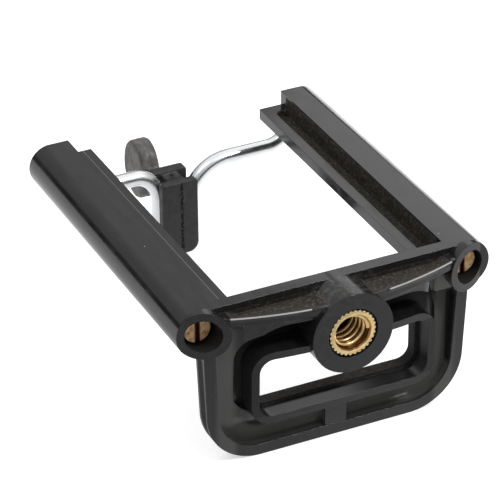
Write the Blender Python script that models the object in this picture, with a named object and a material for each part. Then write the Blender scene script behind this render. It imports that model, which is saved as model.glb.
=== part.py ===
"""Sprung phone clamp that screws on a camera tripod.

A moulded frame carries two tubular arms and a front plate with the tripod nut.
A bent wire hoop with a rubber grip slides in the arms against two springs.

All places are given from the centre of the screw boss's front face:
X to the right, Y along the arms and away from the tripod screw, Z up.
Lengths are in metres.
"""
import math

import bmesh
import bpy
from mathutils import Vector

# Room between pieces that touch or slide
CLEARANCE = 0.0003
# How far one solid of the moulding runs into the next, and a cutter past a face
EMBED = 0.0004
CUT_PAST = 0.003

# What the clamp is made for
PHONE_MIN_WIDTH = 0.0594
ROD_SPACING = 0.0492
WIRE_RADIUS = 0.00145

# Springs round the rods, and the slotted nuts that push them
SPRING_ROOM = 0.00035
SPRING_WIRE = 0.0006
SPRING_TURNS = 18
NUT_ROOM = 0.00057
NUT_LENGTH = 0.0040
NUT_DEPTH = 0.0025
NUT_FACE = 0.0014
NUT_SLOT_WIDTH = 0.0006
NUT_SLOT_DEPTH = 0.0008

# Arms
AXIS_HEIGHT = 0.00325
BORE_ROOM = 0.00055
TUBE_WALL = 0.00143
TUBE_DRAFT = 0.0003
RING_SEAM = 0.00001
FLAT_DEPTH = 0.00003
END_WALL = 0.0020
SHOULDER_WALL = 0.00055
LEDGE_WIDTH = 0.00435
LEDGE_RISE = 0.00125
LEDGE_THICKNESS = 0.0020
POCKET_LIP = 0.0020
POCKET_FLOOR = 0.0008
POCKET_END_GAP = 0.0022
POCKET_FRONT_GAP = 0.0020
POCKET_INTO_SHOULDER = 0.00012

# Front plate
PLATE_BACK = 0.0088
PLATE_FLARE = 0.00105
PLATE_FOOT = 0.0091
PLATE_CORNER_RADIUS = 0.0100
RIM_WIDTH = 0.0021
RIM_DEPTH_TOP = 0.0033
RIM_DEPTH_BOTTOM = 0.0028
WEB_THICKNESS = 0.0010

# Bowed face between the rings
BOW_SETBACK = 0.0004
BOW_RADIUS = 0.0590
RING_PROUD = 0.0003
BAND_SETDOWN = 0.00115
BAND_HEIGHT = 0.00175
FACE_FOOT = 0.0032
APRON_SCOOP = 0.0047
CREASE_SOFTNESS = 0.0005
FACE_COLUMNS = 44
FACE_ROWS = 28

# Slot and its raised collar
SLOT_SIDE_WEB = 0.0089
SLOT_TOP = -0.0027
SLOT_HEIGHT = 0.0115
SLOT_CORNER_RADIUS = 0.0026
SLOT_STEP = 0.0006
SLOT_STEP_DEPTH = 0.0034
COLLAR_WALL = 0.0014

# Windows beside the boss
WINDOW_REACH = 0.0017
WINDOW_BELOW_BAND = 0.0005
WINDOW_FOOT = 0.0009
WINDOW_TOP_RADIUS = 0.0084
WINDOW_BOTTOM_RADIUS = 0.0022
WINDOW_FLOOR_LIFT = 0.0005

# Hollow along the top of the cross member, and the wall behind it
REAR_WALL = 0.0024
REAR_WALL_LAP = 0.0009
HOLLOW_DEPTH = 0.00085
HOLLOW_EDGE = 0.0003
HOLLOW_SLOPE = 0.0021
HOLLOW_SIDE_WEB = 0.0043

# Gate rib across the gap below the face
GATE_RIB_WIDTH = 0.0040

# Screw boss and the brass nut moulded in it
BOSS_RADIUS = 0.0074
THREAD_MINOR_RADIUS = 0.0026
INSERT_WALL = 0.0011
INSERT_LIP = 0.00055
INSERT_TOOTH_HEIGHT = 0.00022
INSERT_TEETH = 30
INSERT_FLANGE = 0.0012
INSERT_BACK_WALL = 0.0021
INSERT_RECESS = 0.0001

# Wire hoop
ROD_BEND = 0.0027
SHOULDER_BEND = 0.0052
DIP_BEND = 0.0064
LEG_SPACING = 0.0060
CROSS_WIRE_HEIGHT = -0.0054
LEG_SETBACK = 0.0044
HOOP_BOTTOM = -0.0185
EXIT_GAP = 0.0004

# Rubber grip
GRIP_HALF_WIDTH = 0.0035
GRIP_TOP = -0.0061
GRIP_BOTTOM = -0.0212
GRIP_DEPTH = 0.0069
GRIP_CORNER_RADIUS = 0.0020
TAB_CENTRE_SETBACK = 0.0164
TAB_CENTRE_HEIGHT = -0.0112
TAB_DEPTH = 0.0094
TAB_HEIGHT = 0.0132
TAB_THICKNESS = 0.0036
TAB_EDGE = 0.0004
NECK_THICKNESS = 0.0024
NECK_HEIGHT = 0.0066

# Roundness
ARC_STEPS = 10
TUBE_SIDES = 40
BORE_SIDES = 32
WIRE_SIDES = 12

# Places that follow from the sizes above
ROD_X = ROD_SPACING / 2
SPRING_RADIUS = WIRE_RADIUS + SPRING_ROOM + SPRING_WIRE / 2
BORE_RADIUS = SPRING_RADIUS + SPRING_WIRE / 2 + BORE_ROOM
TUBE_RADIUS = BORE_RADIUS + TUBE_WALL
NUT_RADIUS = BORE_RADIUS - NUT_ROOM
SHOULDER_X = ROD_X - BORE_RADIUS - SHOULDER_WALL
LEDGE_X = SHOULDER_X - LEDGE_WIDTH
LEDGE_TOP = AXIS_HEIGHT + LEDGE_RISE
ARM_TOP = AXIS_HEIGHT + TUBE_RADIUS - TUBE_DRAFT - FLAT_DEPTH
BAND_TOP = ARM_TOP - BAND_SETDOWN
BAND_BOTTOM = BAND_TOP - BAND_HEIGHT
HOLLOW_FLOOR = BAND_TOP - HOLLOW_DEPTH
HOLLOW_HALF_WIDTH = ROD_X - HOLLOW_SIDE_WEB
SLOT_HALF_WIDTH = ROD_X - SLOT_SIDE_WEB
SLOT_BOTTOM = SLOT_TOP - SLOT_HEIGHT
PLATE_BOTTOM = SLOT_BOTTOM - PLATE_FOOT
WEB_FRONT = PLATE_BACK - WEB_THICKNESS
INSERT_LENGTH = PLATE_BACK - INSERT_RECESS - INSERT_BACK_WALL
INSERT_BARREL_RADIUS = THREAD_MINOR_RADIUS + INSERT_WALL
INSERT_FLANGE_RADIUS = INSERT_BARREL_RADIUS + INSERT_LIP
GRIP_FRONT = PLATE_BACK + PHONE_MIN_WIDTH
HOOP_PLANE = GRIP_FRONT + LEG_SETBACK
ARM_END = HOOP_PLANE - ROD_BEND - EXIT_GAP
SPRING_SEAT = ARM_END - END_WALL
REAR_FRONT = PLATE_BACK - REAR_WALL
TAB_BACK = GRIP_FRONT + TAB_CENTRE_SETBACK + TAB_DEPTH / 2


def bow(x):
    """Depth of the bowed front at a distance from the middle."""
    return BOW_SETBACK + x * x / (2 * BOW_RADIUS)


RING_MOUTH = bow(ROD_X) - RING_PROUD
NUT_FRONT = RING_MOUTH + NUT_DEPTH
NUT_BACK = NUT_FRONT + NUT_LENGTH


def clear_scene():
    for obj in list(bpy.data.objects):
        bpy.data.objects.remove(obj, do_unlink=True)


def material(name, colour, roughness, metallic=0.0):
    """Principled finish of one piece."""
    mat = bpy.data.materials.new(name)
    mat.use_nodes = True
    shader = mat.node_tree.nodes["Principled BSDF"]
    shader.inputs["Base Color"].default_value = (*colour, 1.0)
    shader.inputs["Roughness"].default_value = roughness
    shader.inputs["Metallic"].default_value = metallic
    mat.diffuse_color = (*colour, 1.0)
    return mat


def finish_mesh(name, bm, parent):
    """Closes a bmesh into an object that hangs on the clamp's reference empty."""
    bmesh.ops.recalc_face_normals(bm, faces=bm.faces)
    mesh = bpy.data.meshes.new(name)
    bm.to_mesh(mesh)
    bm.free()
    obj = bpy.data.objects.new(name, mesh)
    bpy.context.collection.objects.link(obj)
    obj.parent = parent
    return obj


def add_bool(target, tool, operation):
    """Joins or cuts with a helper solid, which is not a piece itself."""
    tool.hide_render = True
    tool.display_type = "WIRE"
    tool.hide_set(True)
    mod = target.modifiers.new(tool.name, "BOOLEAN")
    mod.operation = operation
    mod.solver = "EXACT"
    mod.object = tool


def join(target, tool):
    add_bool(target, tool, "UNION")


def cut(target, tool):
    add_bool(target, tool, "DIFFERENCE")


def arc(cx, cz, radius, start, stop, steps=ARC_STEPS):
    """Points of an arc, with its angles in degrees."""
    turns = [math.radians(start + (stop - start) * i / steps) for i in range(steps + 1)]
    return [(cx + radius * math.cos(a), cz + radius * math.sin(a)) for a in turns]


def loft(bm, loops, capped=True):
    """Skins closed loops of equal length one after another."""
    rings = [[bm.verts.new(p) for p in loop] for loop in loops]
    for near, far in zip(rings, rings[1:]):
        for i in range(len(near)):
            j = (i + 1) % len(near)
            bm.faces.new((near[i], near[j], far[j], far[i]))
    if capped:
        bm.faces.new(list(reversed(rings[0])))
        bm.faces.new(rings[-1])
    return rings


def prism_along_y(name, outline, front, back, parent):
    """Solid of an X-Z outline between two depths; the front may follow a function."""
    depth = front if callable(front) else (lambda x, z: front)
    bm = bmesh.new()
    loft(bm, [[(x, depth(x, z), z) for x, z in outline], [(x, back, z) for x, z in outline]])
    return finish_mesh(name, bm, parent)


def prism_along_z(name, sections, parent):
    """Solid skinned through X-Y outlines at rising heights."""
    bm = bmesh.new()
    loft(bm, [[(x, y, z) for x, y in outline] for outline, z in sections])
    return finish_mesh(name, bm, parent)


def turned_along_y(name, profile, sides, parent, x=0.0, z=0.0):
    """Solid of revolution about a line along Y; the profile is (radius, y) pairs."""
    bm = bmesh.new()
    loops = []
    for radius, y in profile:
        loops.append([(x + px, y, z + pz) for px, pz in circle(radius, sides)])
    loft(bm, loops)
    return finish_mesh(name, bm, parent)


def circle(radius, sides):
    turns = [2 * math.pi * i / sides for i in range(sides)]
    return [(radius * math.cos(a), radius * math.sin(a)) for a in turns]


def rounded_slot(half_width, bottom, top, low_radius, high_radius):
    """Rectangle with rounded corners, listed anticlockwise from the lower right."""
    points = arc(half_width - low_radius, bottom + low_radius, low_radius, -90, 0)
    points += arc(half_width - high_radius, top - high_radius, high_radius, 0, 90)
    points += arc(-half_width + high_radius, top - high_radius, high_radius, 90, 180)
    points += arc(-half_width + low_radius, bottom + low_radius, low_radius, 180, 270)
    return points


def split_long_edges(outline, longest):
    """Adds points on straight stretches so that they can follow the bow."""
    points = []
    for i, (x0, z0) in enumerate(outline):
        x1, z1 = outline[(i + 1) % len(outline)]
        count = max(1, math.ceil(math.hypot(x1 - x0, z1 - z0) / longest))
        for k in range(count):
            points.append((x0 + (x1 - x0) * k / count, z0 + (z1 - z0) * k / count))
    return points


def plate_half_width(z, inset=0.0):
    """Half width of the drafted plate at a height, in from its edge."""
    return ROD_X - PLATE_FLARE * z / PLATE_BOTTOM - inset


def plate_outline(inset, top):
    """Lower edge and sides of the plate, up to a height inside the arms."""
    radius = PLATE_CORNER_RADIUS - inset
    low = PLATE_BOTTOM + inset
    centre = plate_half_width(low + radius, inset) - radius
    right = arc(centre, low + radius, radius, -90, 0, 2 * ARC_STEPS)
    right.append((plate_half_width(top, inset), top))
    return right + [(-x, z) for x, z in reversed(right)]


def inside_rim(x, z):
    """How far a point of the face lies inside the rim's inner edge."""
    radius = PLATE_CORNER_RADIUS - RIM_WIDTH
    across = abs(x) - (plate_half_width(z, RIM_WIDTH) - radius)
    down = PLATE_BOTTOM + RIM_WIDTH + radius - z
    if across > 0 and down > 0:
        return radius - math.hypot(across, down)
    return radius - max(across, down)


def face_ruled(x, z):
    """Front that is bowed at the band and nearly straight at the slot's foot."""
    share = (BAND_TOP - z) / (BAND_TOP - SLOT_BOTTOM + COLLAR_WALL)
    share = min(max(share, 0.0), 1.0)
    return bow(x) * (1 - share) + FACE_FOOT * share


def face_depth(x, z):
    """Depth of the face: the ruled front, and the apron that falls to the rim."""
    if z > BAND_BOTTOM:
        return bow(x)
    ruled = face_ruled(x, z)
    inside = max(inside_rim(x, z), 0.0)
    apron = WEB_FRONT - inside * inside / (2 * APRON_SCOOP)
    gap = ruled - apron
    return (ruled + apron + math.sqrt(gap * gap + CREASE_SOFTNESS ** 2)) / 2


def rim_front(x, z):
    share = min(max(z / PLATE_BOTTOM, 0.0), 1.0)
    return PLATE_BACK - RIM_DEPTH_TOP + (RIM_DEPTH_TOP - RIM_DEPTH_BOTTOM) * share


def face_row_half_width(z):
    """Half width of a row of the face, just inside the rim or the tube wall."""
    radius = PLATE_CORNER_RADIUS - RIM_WIDTH + EMBED
    low = PLATE_BOTTOM + RIM_WIDTH - EMBED
    if z < low + radius:
        centre = plate_half_width(low + radius, RIM_WIDTH - EMBED) - radius
        rise = low + radius - z
        return centre + math.sqrt(max(radius * radius - rise * rise, 0.0))
    tube_foot = AXIS_HEIGHT - TUBE_RADIUS
    if z < tube_foot + EMBED:
        return plate_half_width(z, RIM_WIDTH - EMBED)
    return ROD_X - TUBE_RADIUS / 2


def face_levels():
    """Heights of the face's rows, closer together where the corners turn."""
    low = PLATE_BOTTOM + RIM_WIDTH - EMBED
    turn = low + PLATE_CORNER_RADIUS - RIM_WIDTH + EMBED
    rows = FACE_ROWS // 3
    levels = [turn - (turn - low) * math.cos(math.pi / 2 * i / rows) for i in range(rows)]
    middle = FACE_ROWS - rows
    levels += [turn + (BAND_BOTTOM - turn) * i / middle for i in range(middle + 1)]
    levels += [BAND_BOTTOM + EMBED / 2, BAND_TOP]
    return levels


def build_face(parent):
    """Raised face as a skin of rows over a flat back inside the web."""
    bm = bmesh.new()
    back = (WEB_FRONT + PLATE_BACK) / 2
    levels = face_levels()
    front_rows = []
    back_rows = []
    for z in levels:
        half = face_row_half_width(z)
        xs = [half * (2 * i / FACE_COLUMNS - 1) for i in range(FACE_COLUMNS + 1)]
        front_rows.append([bm.verts.new((x, face_depth(x, z), z)) for x in xs])
        back_rows.append([bm.verts.new((x, back, z)) for x in (xs[0], xs[-1])])
    for low, high in zip(front_rows, front_rows[1:]):
        for i in range(FACE_COLUMNS):
            bm.faces.new((low[i], low[i + 1], high[i + 1], high[i]))
    for i in range(len(levels) - 1):
        for side in (0, -1):
            bm.faces.new((front_rows[i][side], front_rows[i + 1][side],
                          back_rows[i + 1][side], back_rows[i][side]))
    for end in (0, -1):
        bm.faces.new(front_rows[end] + list(reversed(back_rows[end])))
    bm.faces.new([row[0] for row in back_rows] + [row[1] for row in reversed(back_rows)])
    return finish_mesh("face_skin", bm, parent)


def outer_arc(radius):
    """Round outside of an arm, from its flat top to the ledge's underside."""
    top_reach = math.sqrt(radius ** 2 - (ARM_TOP - AXIS_HEIGHT) ** 2)
    start = math.degrees(math.atan2(ARM_TOP - AXIS_HEIGHT, top_reach))
    under = AXIS_HEIGHT - (LEDGE_TOP - LEDGE_THICKNESS)
    stop = -180 + math.degrees(math.asin(under / radius))
    return arc(ROD_X, AXIS_HEIGHT, radius, start, stop, 3 * ARC_STEPS), start, stop


def ring_section(side):
    """The arm's outside, closed to a full circle over the inner side."""
    points, start, stop = outer_arc(TUBE_RADIUS)
    inner = arc(ROD_X, AXIS_HEIGHT, TUBE_RADIUS, stop, start - 360, 2 * ARC_STEPS)
    return [(side * x, z) for x, z in points + inner[1:-1]]


def arm_section(side, radius):
    """Round outside, flat top, square shoulder and thin inner ledge."""
    outer = outer_arc(radius)[0]
    inner = [(LEDGE_X, LEDGE_TOP - LEDGE_THICKNESS), (LEDGE_X, LEDGE_TOP)]
    inner += [(SHOULDER_X, LEDGE_TOP), (SHOULDER_X, ARM_TOP)]
    return [(side * x, z) for x, z in outer + inner]


def pocket_outline(side):
    """Long recess in the ledge, with round ends."""
    inner = LEDGE_X + POCKET_LIP
    outer = SHOULDER_X + POCKET_INTO_SHOULDER
    radius = (outer - inner) / 2
    middle = (outer + inner) / 2
    near = arc(middle, PLATE_BACK + POCKET_FRONT_GAP + radius, radius, 180, 360)
    far = arc(middle, ARM_END - POCKET_END_GAP - radius, radius, 0, 180)
    return [(side * x, y) for x, y in near + far]


def add_arm(frame, side, label, parent):
    """One tubular arm: ring, long body, rod bore, guide hole and ledge pocket."""
    ring = prism_along_y("ring_" + label, ring_section(side), 0.0, REAR_FRONT + EMBED, parent)
    inner = ROD_X - TUBE_RADIUS - CUT_PAST
    outer = ROD_X + TUBE_RADIUS + CUT_PAST
    steps = 2 * ARC_STEPS
    xs = [inner + (outer - inner) * i / steps for i in range(steps + 1)]
    plan = [(side * x, bow(x) - RING_PROUD) for x in xs]
    plan += [(side * outer, -CUT_PAST), (side * inner, -CUT_PAST)]
    reach = TUBE_RADIUS + CUT_PAST
    cut(ring, prism_along_z("ring_trim_" + label, [(plan, AXIS_HEIGHT - reach),
                                                   (plan, AXIS_HEIGHT + reach)], parent))
    join(frame, ring)
    bm = bmesh.new()
    loft(bm, [[(x, y, z) for x, z in arm_section(side, radius)]
              for y, radius in ((REAR_FRONT, TUBE_RADIUS - RING_SEAM),
                                (ARM_END, TUBE_RADIUS - TUBE_DRAFT))])
    join(frame, finish_mesh("arm_" + label, bm, parent))


def add_bores(frame, side, label, parent):
    """Rod bore with its end wall, and the recess in the ledge."""
    bore = [(BORE_RADIUS, -CUT_PAST), (BORE_RADIUS, SPRING_SEAT)]
    cut(frame, turned_along_y("bore_" + label, bore, BORE_SIDES, parent,
                              side * ROD_X, AXIS_HEIGHT))
    hole = WIRE_RADIUS + CLEARANCE
    guide = [(hole, SPRING_SEAT - CUT_PAST), (hole, ARM_END + CUT_PAST)]
    cut(frame, turned_along_y("guide_" + label, guide, BORE_SIDES // 2, parent,
                              side * ROD_X, AXIS_HEIGHT))
    plan = pocket_outline(side)
    floor = LEDGE_TOP - LEDGE_THICKNESS + POCKET_FLOOR
    cut(frame, prism_along_z("pocket_" + label, [(plan, floor), (plan, ARM_TOP - EMBED)], parent))


def add_hollow(frame, parent):
    """Shallow hollow between the bowed band and the straight rear wall."""
    steps = 3 * ARC_STEPS

    def plan(back_off, half):
        xs = [half * (2 * i / steps - 1) for i in range(steps + 1)]
        return [(x, bow(x) + back_off) for x in xs] + [(half, REAR_FRONT), (-half, REAR_FRONT)]

    floor = plan(HOLLOW_EDGE + HOLLOW_SLOPE, HOLLOW_HALF_WIDTH - HOLLOW_SLOPE)
    brim = plan(HOLLOW_EDGE, HOLLOW_HALF_WIDTH)
    sections = [(floor, HOLLOW_FLOOR), (brim, BAND_TOP), (brim, ARM_TOP + CUT_PAST)]
    cut(frame, prism_along_z("hollow", sections, parent))


def add_collar_and_slot(frame, parent):
    """Raised wall round the slot, and the stepped slot through the plate."""
    wall = COLLAR_WALL
    outer = rounded_slot(SLOT_HALF_WIDTH + wall, SLOT_BOTTOM - wall, SLOT_TOP + wall,
                         SLOT_CORNER_RADIUS + wall, SLOT_CORNER_RADIUS + wall)
    outer = split_long_edges(outer, SLOT_HALF_WIDTH / 8)
    bm = bmesh.new()
    back = (WEB_FRONT + PLATE_BACK) / 2
    front = [bm.verts.new((x, face_ruled(x, z), z)) for x, z in outer]
    rear = [bm.verts.new((x, back, z)) for x, z in outer]
    middle_z = (SLOT_TOP + SLOT_BOTTOM) / 2
    spine = [bm.verts.new((x, face_ruled(x, middle_z), middle_z)) for x, z in outer]
    count = len(outer)
    for i in range(count):
        j = (i + 1) % count
        bm.faces.new((front[i], front[j], rear[j], rear[i]))
        bm.faces.new((front[i], front[j], spine[j], spine[i]))
    bm.faces.new(rear)
    bmesh.ops.remove_doubles(bm, verts=bm.verts, dist=1e-6)
    join(frame, finish_mesh("collar", bm, parent))

    mouth = rounded_slot(SLOT_HALF_WIDTH, SLOT_BOTTOM, SLOT_TOP,
                         SLOT_CORNER_RADIUS, SLOT_CORNER_RADIUS)
    step_y = FACE_FOOT + SLOT_STEP_DEPTH
    cut(frame, prism_along_y("slot_mouth", mouth, -CUT_PAST, step_y, parent))
    low = SLOT_BOTTOM + SLOT_STEP
    throat = rounded_slot(SLOT_HALF_WIDTH - SLOT_STEP, low, SLOT_TOP - SLOT_STEP,
                          SLOT_CORNER_RADIUS - SLOT_STEP / 2, SLOT_CORNER_RADIUS - SLOT_STEP / 2)
    cut(frame, prism_along_y("slot_throat", throat, step_y - EMBED,
                             PLATE_BACK + CUT_PAST, parent))


def build_frame(parent):
    """The one-piece moulding."""
    outline = plate_outline(0.0, AXIS_HEIGHT - BORE_RADIUS)
    frame = prism_along_y("frame", outline, rim_front, PLATE_BACK, parent)
    recess = plate_outline(RIM_WIDTH, AXIS_HEIGHT + EMBED)
    cut(frame, prism_along_y("face_recess", recess, -CUT_PAST, WEB_FRONT + EMBED, parent))
    join(frame, build_face(parent))

    wall_reach = ROD_X - TUBE_RADIUS / 2 - EMBED
    wall_low = AXIS_HEIGHT - BORE_RADIUS - REAR_WALL_LAP
    wall = [(-wall_reach, wall_low), (wall_reach, wall_low),
            (wall_reach, ARM_TOP), (-wall_reach, ARM_TOP)]
    join(frame, prism_along_y("rear_wall", wall, REAR_FRONT, PLATE_BACK, parent))
    half = GATE_RIB_WIDTH / 2
    rib = [(-half, PLATE_BOTTOM + RIM_WIDTH / 2), (half, PLATE_BOTTOM + RIM_WIDTH / 2),
           (half, SLOT_BOTTOM - COLLAR_WALL), (-half, SLOT_BOTTOM - COLLAR_WALL)]
    join(frame, prism_along_y("gate_rib", rib, PLATE_BACK - RIM_DEPTH_BOTTOM + EMBED / 4, PLATE_BACK - EMBED,
                              parent))

    window = rounded_slot(SLOT_HALF_WIDTH + COLLAR_WALL + WINDOW_REACH, SLOT_BOTTOM + WINDOW_FOOT,
                          BAND_BOTTOM - WINDOW_BELOW_BAND, WINDOW_BOTTOM_RADIUS, WINDOW_TOP_RADIUS)
    cut(frame, prism_along_y("windows", window, -CUT_PAST, WEB_FRONT - WINDOW_FLOOR_LIFT, parent))
    for side, label in ((1, "right"), (-1, "left")):
        add_arm(frame, side, label, parent)
    add_hollow(frame, parent)
    add_collar_and_slot(frame, parent)
    boss = [(BOSS_RADIUS, 0), (BOSS_RADIUS, PLATE_BACK - EMBED / 2)]
    join(frame, turned_along_y("boss", boss, TUBE_SIDES + 8, parent))
    for side, label in ((1, "right"), (-1, "left")):
        add_bores(frame, side, label, parent)

    flange = INSERT_FLANGE_RADIUS + CLEARANCE
    barrel = INSERT_BARREL_RADIUS + CLEARANCE
    step = INSERT_RECESS + INSERT_FLANGE + CLEARANCE
    floor = INSERT_RECESS + INSERT_LENGTH + CLEARANCE
    seat = [(flange, -CUT_PAST), (flange, step), (barrel, step), (barrel, floor)]
    cut(frame, turned_along_y("insert_seat", seat, BORE_SIDES, parent))
    frame.data.materials.append(material("moulded_black_plastic", (0.035, 0.035, 0.037), 0.38))
    return frame


def build_insert(parent):
    """Brass nut: toothed flange, plain barrel and the hole for the tripod screw."""
    bm = bmesh.new()
    points = 2 * INSERT_TEETH
    front = INSERT_RECESS

    def ring(radius, y, tooth=0.0):
        loop = []
        for i in range(points):
            a = 2 * math.pi * i / points
            r = radius - (tooth if i % 2 else 0.0)
            loop.append((r * math.cos(a), y, r * math.sin(a)))
        return loop

    chamfer = (INSERT_FLANGE_RADIUS - INSERT_BARREL_RADIUS) / 2
    loops = [ring(THREAD_MINOR_RADIUS + chamfer, front),
             ring(INSERT_FLANGE_RADIUS, front, INSERT_TOOTH_HEIGHT),
             ring(INSERT_FLANGE_RADIUS, front + INSERT_FLANGE, INSERT_TOOTH_HEIGHT),
             ring(INSERT_BARREL_RADIUS, front + INSERT_FLANGE),
             ring(INSERT_BARREL_RADIUS, front + INSERT_LENGTH),
             ring(THREAD_MINOR_RADIUS, front + INSERT_LENGTH),
             ring(THREAD_MINOR_RADIUS, front + chamfer)]
    loft(bm, loops + [loops[0]], capped=False)
    bmesh.ops.remove_doubles(bm, verts=bm.verts, dist=1e-7)
    insert = finish_mesh("tripod_nut", bm, parent)
    insert.data.materials.append(material("brass", (0.78, 0.56, 0.25), 0.28, 1.0))
    return insert


def hoop_half():
    """Centre line of the hoop's right half, from the rod's front end to the middle."""
    points = [(ROD_X, NUT_FRONT + NUT_FACE + CLEARANCE, AXIS_HEIGHT)]
    turn_y = HOOP_PLANE - ROD_BEND
    for y, z in arc(turn_y, AXIS_HEIGHT - ROD_BEND, ROD_BEND, 90, 0, 8):
        points.append((ROD_X, y, z))
    corner_x = ROD_X - SHOULDER_BEND
    corner_z = CROSS_WIRE_HEIGHT + SHOULDER_BEND
    points += [(x, HOOP_PLANE, z) for x, z in arc(corner_x, corner_z, SHOULDER_BEND, 0, -90, 8)]
    leg_x = LEG_SPACING / 2
    dip_x = leg_x + DIP_BEND
    dip_z = CROSS_WIRE_HEIGHT - DIP_BEND
    points += [(x, HOOP_PLANE, z) for x, z in arc(dip_x, dip_z, DIP_BEND, 90, 180, 8)]
    turn_z = HOOP_BOTTOM + leg_x
    points += [(x, HOOP_PLANE, z) for x, z in arc(0.0, turn_z, leg_x, 0, -90, 6)]
    return points


def sweep(name, points, radius, sides, parent):
    """Round wire along a centre line, kept from twisting."""
    path = [Vector(p) for p in points]
    path = [p for i, p in enumerate(path) if i == 0 or (p - path[i - 1]).length > 1e-6]
    bm = bmesh.new()
    loops = []
    side = None
    for i, point in enumerate(path):
        ahead = (path[min(i + 1, len(path) - 1)] - point)
        behind = (point - path[max(i - 1, 0)])
        tangent = (ahead.normalized() + behind.normalized()).normalized()
        if side is None:
            side = tangent.orthogonal().normalized()
        side = (side - side.dot(tangent) * tangent).normalized()
        up = tangent.cross(side)
        loops.append([point + side * a + up * b for a, b in circle(radius, sides)])
    loft(bm, loops)
    return finish_mesh(name, bm, parent)


def whole_hoop():
    right = hoop_half()
    return right + [(-x, y, z) for x, y, z in reversed(right[:-1])]


def build_hoop(parent):
    """Plated wire: two rods, a cross wire and the loop inside the grip."""
    hoop = sweep("wire_hoop", whole_hoop(), WIRE_RADIUS, WIRE_SIDES, parent)
    hoop.data.materials.append(material("plated_wire", (0.78, 0.79, 0.80), 0.12, 1.0))
    return hoop


def build_nut(side, label, brass, parent):
    """Slotted brass nut that closes a rod's front end and pushes the spring."""
    socket = WIRE_RADIUS + CLEARANCE
    profile = [(NUT_RADIUS, NUT_FRONT), (NUT_RADIUS, NUT_BACK), (socket, NUT_BACK),
               (socket, NUT_FRONT + NUT_FACE)]
    nut = turned_along_y(label + "_rod_nut", profile, BORE_SIDES - 8, parent,
                         side * ROD_X, AXIS_HEIGHT)
    x = side * ROD_X
    half = NUT_SLOT_WIDTH / 2
    reach = NUT_RADIUS + CUT_PAST
    blade = [(x - half, AXIS_HEIGHT - reach), (x + half, AXIS_HEIGHT - reach),
             (x + half, AXIS_HEIGHT + reach), (x - half, AXIS_HEIGHT + reach)]
    cut(nut, prism_along_y(label + "_nut_slot", blade, NUT_FRONT - CUT_PAST,
                           NUT_FRONT + NUT_SLOT_DEPTH, parent))
    nut.data.materials.append(brass)
    return nut


def build_spring(side, label, steel, parent):
    """Compression spring round a rod, from its nut to the arm's end wall."""
    start = NUT_BACK + CLEARANCE + SPRING_WIRE / 2
    stop = SPRING_SEAT - CLEARANCE - SPRING_WIRE / 2
    count = SPRING_TURNS * ARC_STEPS
    points = []
    for i in range(count + 1):
        a = 2 * math.pi * i / ARC_STEPS
        points.append((side * ROD_X + SPRING_RADIUS * math.cos(a),
                       start + (stop - start) * i / count,
                       AXIS_HEIGHT + SPRING_RADIUS * math.sin(a)))
    spring = sweep(label + "_spring", points, SPRING_WIRE / 2, 5, parent)
    spring.data.materials.append(steel)
    return spring


def build_grip(parent):
    """One rubber moulding: block on the hoop's loop, neck and finger tab."""
    outline = rounded_slot(GRIP_HALF_WIDTH, GRIP_BOTTOM, GRIP_TOP,
                           GRIP_CORNER_RADIUS, GRIP_CORNER_RADIUS / 3)
    grip = prism_along_y("rubber_grip", outline, GRIP_FRONT, GRIP_FRONT + GRIP_DEPTH, parent)
    centre_y = GRIP_FRONT + TAB_CENTRE_SETBACK
    half = NECK_THICKNESS / 2
    low = TAB_CENTRE_HEIGHT - NECK_HEIGHT / 2
    high = TAB_CENTRE_HEIGHT + NECK_HEIGHT / 2
    neck = [(-half, low), (half, low), (half, high), (-half, high)]
    join(grip, prism_along_y("grip_neck", neck, GRIP_FRONT + GRIP_DEPTH - EMBED, centre_y, parent))
    bm = bmesh.new()
    loops = []
    thick = TAB_THICKNESS / 2
    for x, inset in ((-thick, TAB_EDGE), (-thick + TAB_EDGE, 0), (thick - TAB_EDGE, 0),
                     (thick, TAB_EDGE)):
        loops.append([(x, centre_y + a * (TAB_DEPTH / 2 - inset),
                       TAB_CENTRE_HEIGHT + b * (TAB_HEIGHT / 2 - inset))
                      for a, b in circle(1.0, TUBE_SIDES - 8)])
    loft(bm, loops)
    join(grip, finish_mesh("finger_tab", bm, parent))
    cut(grip, sweep("hoop_channel", whole_hoop()[1:-1], WIRE_RADIUS + CLEARANCE,
                    WIRE_SIDES + 4, parent))
    grip.data.materials.append(material("black_rubber", (0.03, 0.03, 0.028), 0.72))
    return grip


def shade(obj):
    """Smooth on round faces, sharp on corners."""
    obj.data.shade_smooth()
    obj.data.set_sharp_from_angle(angle=math.radians(30))


def main():
    clear_scene()
    reference = bpy.data.objects.new("screw_boss_centre", None)
    bpy.context.collection.objects.link(reference)
    reference.location = (0.0, -TAB_BACK / 2, -PLATE_BOTTOM)
    pieces = [build_frame(reference), build_insert(reference), build_hoop(reference)]
    brass = material("nut_brass", (0.70, 0.52, 0.28), 0.42, 1.0)
    steel = material("spring_steel", (0.45, 0.45, 0.46), 0.35, 1.0)
    for side, label in ((1, "right"), (-1, "left")):
        pieces.append(build_nut(side, label, brass, reference))
        pieces.append(build_spring(side, label, steel, reference))
    pieces.append(build_grip(reference))
    for piece in pieces:
        shade(piece)


main()
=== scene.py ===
import math
import random

import bmesh
import bpy
from mathutils import Matrix, Vector


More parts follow.
